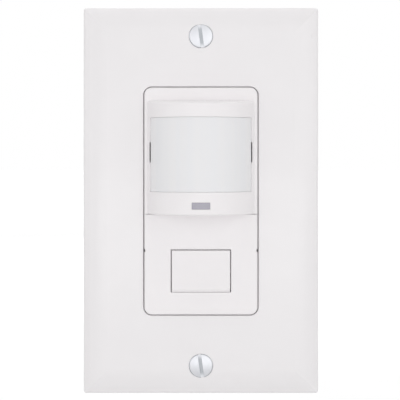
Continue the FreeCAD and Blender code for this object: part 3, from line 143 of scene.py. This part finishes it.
def plastic(name, colour, roughness, spread=0.01, grain=0.25 * MM, relief=0.004 * MM, coat=0.0):
    """Moulded plastic: a slight cloudiness, a fine surface grain and uneven gloss."""
    m = Material(name, roughness)
    m.colour(m.noise(9 * MM, 2.0), shade(colour, 1 - spread), shade(colour, 1 + spread * 0.5))
    m.gloss(m.noise(2.5 * MM, 3.0), roughness - 0.04, roughness + 0.04)
    m.bump(m.noise(grain, 2.0), relief)
    m.shader.inputs["Coat Weight"].default_value = coat
    return m


DRAWN_LINES = (1, 1, 12)


def metal(name, colour, roughness, spread):
    """Sheet or turned metal: drawn lines, a cloudy plating and uneven gloss."""
    m = Material(name, roughness, 1.0)
    m.colour(m.noise(2.2 * MM, 4.0), shade(colour, 1 - spread), colour)
    m.gloss(m.noise(0.9 * MM, 4.0, DRAWN_LINES), roughness - 0.06, roughness + 0.08)
    m.bump(m.noise(0.4 * MM, 4.0, DRAWN_LINES), 0.002 * MM)
    return m


PLATE_SCREW_CENTRE = 48.42 * MM
# Depths and radii that bound the painted shade in the driver slots and round the heads' rims.
SLOT_FLOOR, SLOT_MOUTH = -5.56 * MM, -5.4 * MM
SLOT_SHADE_END, SLOT_SHADE_START = 3.1 * MM, 1.8 * MM
HEAD_RIM_START, HEAD_RIM_END = 3.22 * MM, 3.42 * MM


def screw_plating_and_shade():
    """Bright plating with random tone, and painted shade in the driver slots, less at their open ends,
    and round the heads' rims.
    """
    m = Material("plated_screw", 0.3, 1.0)
    apart = m.node("ShaderNodeSeparateXYZ")
    m.link(m.place, apart.inputs["Vector"])
    from_centre = m.calculate("SUBTRACT", m.calculate("ABSOLUTE", apart.outputs["Z"]), PLATE_SCREW_CENTRE)
    across = m.node("ShaderNodeCombineXYZ")
    m.link(apart.outputs["X"], across.inputs["X"])
    m.link(from_centre, across.inputs["Z"])
    radius = m.node("ShaderNodeVectorMath", operation="LENGTH")
    m.link(across.outputs["Vector"], radius.inputs[0])
    # Where shade is painted: the slot floors, more in the slots' middles than at their open ends, and the
    # heads' rims.
    slot_floor = m.ranged(apart.outputs["Y"], SLOT_FLOOR, SLOT_MOUTH)
    middle = m.ranged(m.calculate("ABSOLUTE", from_centre), SLOT_SHADE_END, SLOT_SHADE_START)
    rim = m.ranged(radius.outputs["Value"], HEAD_RIM_START, HEAD_RIM_END)
    painted_shade = m.calculate("MAXIMUM", m.calculate("MULTIPLY", slot_floor, middle), rim)
    # Random tone added on top of the painted shade. The colour runs from the bright plating to the
    # painted shade.
    tone_and_painted_shade = m.calculate("MULTIPLY_ADD", m.noise(1.1 * MM, 3.0), 0.25, painted_shade)
    m.colour(tone_and_painted_shade, lit(200, 201, 205), lit(164, 167, 171), (0.2, 1.0))
    m.gloss(m.noise(0.7 * MM, 4.0), 0.36, 0.48)
    m.bump(m.noise(0.3 * MM, 3.0, (1, 1, 8)), 0.002 * MM)
    return m


def lens_sheet_material():
    """Milky polyethylene: faint upright bands of tone that vary at random across its face."""
    m = Material("lens_milk", 0.42)
    bands = m.noise(2.6 * MM, 1.0, (1, 1, 0.01))
    m.colour(bands, lit(231.5, 231.5, 233.6), lit(233, 232.2, 233.4), (0.38, 0.62))
    m.bump(m.noise(0.5 * MM, 2.0, (1, 1, 0.05)), 0.004 * MM)
    return m


slots = {}
slots["plate_white"] = plastic(
    "plate_white", lit(235, 232.5, 233.7), 0.30, 0.006, 1.2 * MM, 0.006 * MM, coat=0.15
)
slots["device_white"] = plastic(
    "device_white", lit(239, 236, 237.2), 0.42, 0.006, 0.22 * MM, 0.005 * MM
)
slots["frame_white"] = plastic("frame_white", lit(228, 226, 226), 0.45, 0.012)
slots["lens_milk"] = lens_sheet_material()
# The masking leaves' dark olive grey is partly their own colour and partly painted shade: it is kept dark
# so that the slits in front of them read dark.
slots["shutter_grey"] = plastic("shutter_grey", lit(104, 103, 92), 0.55, 0.03)
slots["light_smoke"] = plastic("light_smoke", lit(164.5, 162, 173), 0.22, 0.02)
slots["led_resin"] = plastic("led_resin", lit(232, 230, 214), 0.2, 0.02)
slots["plated_screw"] = screw_plating_and_shade()
slots["zinc_steel"] = metal("zinc_steel", lit(196, 198, 201), 0.36, 0.16)
slots["fibre"] = plastic("fibre", lit(205, 190, 158), 0.8, 0.08, 0.3 * MM, 0.02 * MM)
slots["green_screw"] = metal("green_screw", lit(44, 140, 70), 0.34, 0.15)
slots["rivet_metal"] = metal("rivet_metal", lit(214, 215, 217), 0.3, 0.06)
slots["black_case"] = plastic("black_case", lit(38, 38, 40), 0.5, 0.2)
slots["dial_orange"] = plastic("dial_orange", lit(228, 122, 40), 0.35, 0.05)
slots["board_green"] = plastic("board_green", lit(30, 112, 62), 0.3, 0.12)
slots["can_metal"] = metal("can_metal", lit(210, 211, 214), 0.28, 0.08)
slots["filter_dark"] = plastic("filter_dark", lit(44, 46, 58), 0.12, 0.1)
slots["cell_face"] = plastic("cell_face", lit(190, 116, 70), 0.2, 0.1)
slots["relay_case"] = plastic("relay_case", lit(44, 76, 150), 0.35, 0.05)
slots["capacitor_box"] = plastic("capacitor_box", lit(214, 190, 70), 0.35, 0.05)
slots["varistor_coat"] = plastic("varistor_coat", lit(56, 104, 176), 0.35, 0.06)
slots["resistor_coat"] = plastic("resistor_coat", lit(128, 172, 156), 0.6, 0.06)
slots["housing_grey"] = plastic("housing_grey", lit(176, 178, 180), 0.5, 0.02, 0.35 * MM, 0.02 * MM)
slots["brass"] = metal("brass", lit(214, 178, 98), 0.3, 0.12)

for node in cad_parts.values():
    for place in node.material_slots:
        place.material = slots[place.material.name].made

# Pieces that replace plainer solids


SHARP_ANGLE = 40


def piece_from(name, points, faces, slot_name, body="housing"):
    """A named piece from points in millimetres, smooth apart from edges sharper than SHARP_ANGLE."""
    mesh = bpy.data.meshes.new(name)
    mesh.from_pydata([Vector(p) * MM for p in points], [], faces)
    mesh.validate()
    work = bmesh.new()
    work.from_mesh(mesh)
    bmesh.ops.remove_doubles(work, verts=work.verts, dist=1e-7)
    bmesh.ops.recalc_face_normals(work, faces=work.faces)
    work.to_mesh(mesh)
    work.free()
    mesh.materials.append(slots[slot_name].made)
    piece = bpy.data.objects.new(name, mesh)
    bpy.context.scene.collection.objects.link(piece)
    mesh.shade_smooth()
    mesh.set_sharp_from_angle(angle=math.radians(SHARP_ANGLE))
    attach(piece, body)
    return piece


def ring_surface(rings):
    """Points and faces of a skin through rings of points, each ring closed, with a face at both ends."""
    count = len(rings[0])
    points = [p for ring in rings for p in ring]
    faces = []
    for row in range(len(rings) - 1):
        for i in range(count):
            j = (i + 1) % count
            low = row * count
            faces.append((low + i, low + j, low + count + j, low + count + i))
    faces.append(tuple(range(count)))
    last = (len(rings) - 1) * count
    faces.append(tuple(last + i for i in range(count)))
    return points, faces


def joined(parts):
    """Several skins as one list of points and one of faces."""
    points, faces = [], []
    for part_points, part_faces in parts:
        start = len(points)
        points.extend(part_points)
        faces.extend(tuple(start + i for i in face) for face in part_faces)
    return points, faces


THREAD_RADIUS = 1.74
THREAD_PITCH = 0.794
THREAD_DEPTH = 0.42
THREAD_LEAD_IN = 1.2
THREAD_STEPS = 28
ROWS_PER_PITCH = 8
TIP_SHARE = 0.72
GROOVE_FLANK, GROOVE_SLOPE = 1.35, 3.4
DRIVER_SLOT_WIDTH = 1.0
CUTTER_LENGTH = 9.0
CUTTER_LEAD = 1.0


def turned(profile, z, steps):
    """A solid of revolution about an axis along Y through height z: profile is (radius, y)."""
    rings = []
    for radius, y in profile:
        turn = [2 * math.pi * i / steps for i in range(steps)]
        rings.append([(radius * math.cos(a), y, z + radius * math.sin(a)) for a in turn])
    return ring_surface(rings)


def thread(z, start, end):
    """A threaded shank along Y from start to end: the groove is cut into the surface as a helix."""
    rows = max(2, round((end - start) / (THREAD_PITCH / ROWS_PER_PITCH)))
    rings = []
    for row in range(rows + 1):
        y = start + (end - start) * row / rows
        ring = []
        taper = min(1.0, (end - y) / THREAD_LEAD_IN)
        for i in range(THREAD_STEPS):
            angle = 2 * math.pi * i / THREAD_STEPS
            phase = (y / THREAD_PITCH - i / THREAD_STEPS) % 1.0
            groove = min(1.0, max(0.0, GROOVE_FLANK - abs(phase - 0.5) * GROOVE_SLOPE))
            radius = (THREAD_RADIUS - THREAD_DEPTH * groove) * (TIP_SHARE + (1 - TIP_SHARE) * taper)
            ring.append((radius * math.cos(angle), y, z + radius * math.sin(angle)))
        rings.append(ring)
    return ring_surface(rings)


def slot_cut(piece, z, front, depth, tilt):
    """Cuts a straight driver slot, turned by tilt degrees, into the head at height z."""
    half, reach = DRIVER_SLOT_WIDTH / 2 * MM, CUTTER_LENGTH / 2 * MM
    ends = ((front - CUTTER_LEAD) * MM, (front + depth) * MM)
    cutter_mesh = bpy.data.meshes.new("slot")
    corners = [(a, b, c) for a in (-half, half) for b in ends for c in (-reach, reach)]
    faces = [(0, 1, 3, 2), (4, 6, 7, 5), (0, 4, 5, 1), (2, 3, 7, 6), (0, 2, 6, 4), (1, 5, 7, 3)]
    cutter_mesh.from_pydata(corners, [], faces)
    cutter_mesh.materials.append(piece.data.materials[0])
    cutter = bpy.data.objects.new("slot", cutter_mesh)
    cutter.matrix_world = Matrix.Translation((0, 0, z * MM)) @ Matrix.Rotation(math.radians(tilt), 4, "Y")
    bpy.context.scene.collection.objects.link(cutter)
    cut = piece.modifiers.new("slot", "BOOLEAN")
    cut.operation = "DIFFERENCE"
    cut.solver = "EXACT"
    cut.object = cutter
    bpy.context.view_layer.update()
    seen = piece.evaluated_get(bpy.context.evaluated_depsgraph_get())
    made = bpy.data.meshes.new_from_object(seen)
    piece.modifiers.clear()
    piece.data = made
    bpy.data.objects.remove(cutter)
    made.shade_smooth()
    made.set_sharp_from_angle(angle=math.radians(SHARP_ANGLE))


def screw_pair(name, slot_name, height, front, tip, profile, steps, thread_start, slot_depth, tilts):
    """Two slotted screws, below and above: profile is (radius, depth behind the head's front)."""
    solids = []
    for side in (-1, 1):
        z = side * height
        solids.append(turned([(radius, front + depth) for radius, depth in profile], z, steps))
        solids.append(thread(z, front + thread_start, tip))
    points, faces = joined(solids)
    pair = piece_from(name, points, faces, slot_name)
    for side, tilt in zip((-1, 1), tilts):
        slot_cut(pair, side * height, front, slot_depth, tilt)
    return pair


PLATE_HEAD_RADIUS = 3.5
PLATE_CROWN_DEPTH = 0.42
PLATE_CROWN = [
    (PLATE_HEAD_RADIUS * r, PLATE_CROWN_DEPTH * r * r) for r in (0.01, 0.2, 0.4, 0.6, 0.75, 0.9, 0.96)
]
PLATE_HEAD_SIDE = [
    (PLATE_HEAD_RADIUS, 0.52), (3.42, 0.74), (THREAD_RADIUS, 2.1), (THREAD_RADIUS, 2.6),
    (THREAD_RADIUS - THREAD_DEPTH, 2.75), (0.3, 2.75),
]
low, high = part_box("plate_screws")
plate_screw_pair = screw_pair(
    "plate_screw_pair", "plated_screw", high.z / MM - PLATE_HEAD_RADIUS, low.y / MM, high.y / MM,
    PLATE_CROWN + PLATE_HEAD_SIDE, 64, 2.65, 0.75, (-8, -8),
)
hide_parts("plate_screws")

BOX_SCREW_HEIGHT = 83.34 / 2
BOX_HEAD = [
    (0.3, 0.0), (2.4, 0.0), (3.0, 0.14), (3.3, 0.4), (3.4, 0.7),
    (3.4, 1.8), (1.4, 1.8), (1.4, 3.3), (0.3, 3.3),
]
low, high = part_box("box_screws")
box_screw_pair = screw_pair(
    "box_screw_pair", "zinc_steel", BOX_SCREW_HEIGHT, low.y / MM, high.y / MM,
    BOX_HEAD, 56, 3.2, 0.95, (62, 24),
)
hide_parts("box_screws")

# The lens: radii about its upright axis in millimetres, half angles in degrees from the front
LENS_AXIS = 0.22
LENS_BORDER_RADIUS = 16.45
LENS_PANE_RADIUS = 16.8
LENS_INNER_RADIUS = 15.75
LENS_TURN = 63.2
LENS_PANE_TURN = 60.395
LENS_NOTCH_TURN = 60.410
LENS_EDGE = 0.96
SLIT_LOW, SLIT_HIGH = 11.37, 17.27
LENS_COLUMNS = 9
GROOVES_PER_COLUMN = 10
GROOVE_LEAST, GROOVE_GROWTH = 0.02, 0.1
STEP_HEIGHT = 0.01
low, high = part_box("lens")
LENS_LOW, LENS_HIGH = low.z / MM, high.z / MM
PANE_LOW, PANE_HIGH = LENS_LOW + LENS_EDGE, LENS_HIGH - LENS_EDGE


def lens_point(radius, turn, z):
    """A point round the lens's upright axis. The angle runs from the front towards +X."""
    angle = math.radians(turn)
    return radius * math.sin(angle), LENS_AXIS - radius * math.cos(angle), z


def lens_ring(z, turn, face):
    """One level of the lens: border, pane at the face radius, and the grooves of each column behind."""
    outer = [lens_point(LENS_BORDER_RADIUS, -turn, z), lens_point(LENS_BORDER_RADIUS, -LENS_PANE_TURN, z)]
    inner = [lens_point(LENS_INNER_RADIUS, -turn, z)]
    steps = LENS_COLUMNS * GROOVES_PER_COLUMN * 2
    for i in range(steps + 1):
        angle = -LENS_PANE_TURN + 2 * LENS_PANE_TURN * i / steps
        outer.append(lens_point(face, angle, z))
        column = (i / 2) % GROOVES_PER_COLUMN - GROOVES_PER_COLUMN / 2
        tooth = GROOVE_LEAST + GROOVE_GROWTH * abs(column) / (GROOVES_PER_COLUMN / 2)
        inner.append(lens_point(LENS_INNER_RADIUS + (tooth if i % 2 else 0), angle, z))
    outer += [lens_point(LENS_BORDER_RADIUS, LENS_PANE_TURN, z), lens_point(LENS_BORDER_RADIUS, turn, z)]
    inner.append(lens_point(LENS_INNER_RADIUS, turn, z))
    return outer + inner[::-1]


FLUSH = LENS_BORDER_RADIUS + 0.002
LENS_LEVELS = [
    (LENS_LOW, LENS_TURN, FLUSH), (PANE_LOW, LENS_TURN, FLUSH),
    (PANE_LOW + STEP_HEIGHT, LENS_TURN, LENS_PANE_RADIUS),
    (SLIT_LOW, LENS_TURN, LENS_PANE_RADIUS),
    (SLIT_LOW + STEP_HEIGHT, LENS_NOTCH_TURN, LENS_PANE_RADIUS),
    (SLIT_HIGH - STEP_HEIGHT, LENS_NOTCH_TURN, LENS_PANE_RADIUS),
    (SLIT_HIGH, LENS_TURN, LENS_PANE_RADIUS),
    (PANE_HIGH - STEP_HEIGHT, LENS_TURN, LENS_PANE_RADIUS),
    (PANE_HIGH, LENS_TURN, FLUSH), (LENS_HIGH, LENS_TURN, FLUSH),
]
points, faces = ring_surface([lens_ring(*level) for level in LENS_LEVELS])
lens_sheet = piece_from("lens_sheet", points, faces, "lens_milk")
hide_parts("lens")

# Camera

camera_data = bpy.data.cameras.new("camera")
camera_data.sensor_width = 36.0
camera_data.lens = 111.48
camera_data.shift_y = -0.081
camera = bpy.data.objects.new("camera", camera_data)
camera.location = (-0.27 * MM, -369.0 * MM, 12.3 * MM)
CAMERA_DOWN = 0.388
camera.rotation_euler = (math.radians(90 - CAMERA_DOWN), 0, 0)
bpy.context.scene.collection.objects.link(camera)
bpy.context.scene.camera = camera

# Floor, light and background


def seen_rays(tree):
    """1 for camera, glossy and transmission rays, 0 for the rays that carry light."""
    path = tree.nodes.new("ShaderNodeLightPath")
    total = path.outputs["Is Camera Ray"]
    for ray in ("Is Glossy Ray", "Is Transmission Ray"):
        larger = tree.nodes.new("ShaderNodeMath")
        larger.operation = "MAXIMUM"
        tree.links.new(total, larger.inputs[0])
        tree.links.new(path.outputs[ray], larger.inputs[1])
        total = larger.outputs[0]
    return total


GLOW_NEAR, GLOW_FAR = 0.3, 2.0
GLOW_LEAST, GLOW_MOST = 0.235, 0.54


def floor_material():
    """White paint with a faint glow that grows with the distance, so the near floor keeps the shadow."""
    m = Material("floor_paint", 0.9)
    m.colour(m.noise(60 * MM, 2.0), (0.88, 0.88, 0.88, 1), (0.9, 0.9, 0.9, 1))
    reach = m.node("ShaderNodeVectorMath", operation="LENGTH")
    m.link(m.place, reach.inputs[0])
    growth = m.ranged(reach.outputs["Value"], GLOW_NEAR, GLOW_FAR, GLOW_LEAST, GLOW_MOST)
    glow = m.node("ShaderNodeEmission")
    m.link(m.calculate("MULTIPLY", seen_rays(m.tree), growth), glow.inputs["Strength"])
    both = m.node("ShaderNodeAddShader")
    m.link(m.shader.outputs["BSDF"], both.inputs[0])
    m.link(glow.outputs["Emission"], both.inputs[1])
    m.link(both.outputs[0], m.output.inputs["Surface"])
    return m.made


floor_mesh = bpy.data.meshes.new("floor")
FLOOR_REACH = 12.0
FLOOR_Z = -100 * MM
corners = [(-1, -1), (1, -1), (1, 1), (-1, 1)]
floor_points = [(x * FLOOR_REACH, y * FLOOR_REACH, FLOOR_Z) for x, y in corners]
floor_mesh.from_pydata(floor_points, [], [(0, 1, 2, 3)])
floor_mesh.materials.append(floor_material())
floor = bpy.data.objects.new("floor", floor_mesh)
bpy.context.scene.collection.objects.link(floor)

world = bpy.data.worlds.new("world")
bpy.context.scene.world = world
world.use_nodes = True
background = world.node_tree.nodes["Background"]
background.inputs["Color"].default_value = (1, 1, 1, 1)
strength = world.node_tree.nodes.new("ShaderNodeMapRange")
LIGHT_LEVEL, SEEN_LEVEL = 0.54, 1.0
strength.inputs["To Min"].default_value = LIGHT_LEVEL
strength.inputs["To Max"].default_value = SEEN_LEVEL
world.node_tree.links.new(seen_rays(world.node_tree), strength.inputs["Value"])
world.node_tree.links.new(strength.outputs["Result"], background.inputs["Strength"])


def soft_lamp(name, place, width, power, height=None):
    """A soft box aimed at the device. It is square unless a height is given."""
    lamp = bpy.data.lights.new(name, "AREA")
    lamp.shape = "RECTANGLE"
    lamp.size = width
    lamp.size_y = height or width
    lamp.energy = power
    lamp_object = bpy.data.objects.new(name, lamp)
    lamp_object.location = place
    lamp_object.rotation_euler = (-Vector(place)).to_track_quat("-Z", "Y").to_euler()
    bpy.context.scene.collection.objects.link(lamp_object)


soft_lamp("key", (0.9, -0.85, 0.25), 1.0, 2.9)
soft_lamp("front", (-0.05, -1.3, 0.09), 1.2, 2.0)
soft_lamp("low", (0.0, -0.7, -0.05), 1.0, 0.56, 0.09)
soft_lamp("left", (-1.05, -0.6, 0.15), 1.0, 2.4)
soft_lamp("top", (0.0, -0.1, 1.1), 0.8, 2.2)
soft_lamp("back", (-0.5, 1.0, 0.5), 1.0, 2.6)
soft_lamp("back_low", (0.6, 1.0, 0.1), 1.0, 1.6)

bpy.context.scene.view_settings.view_transform = "Standard"
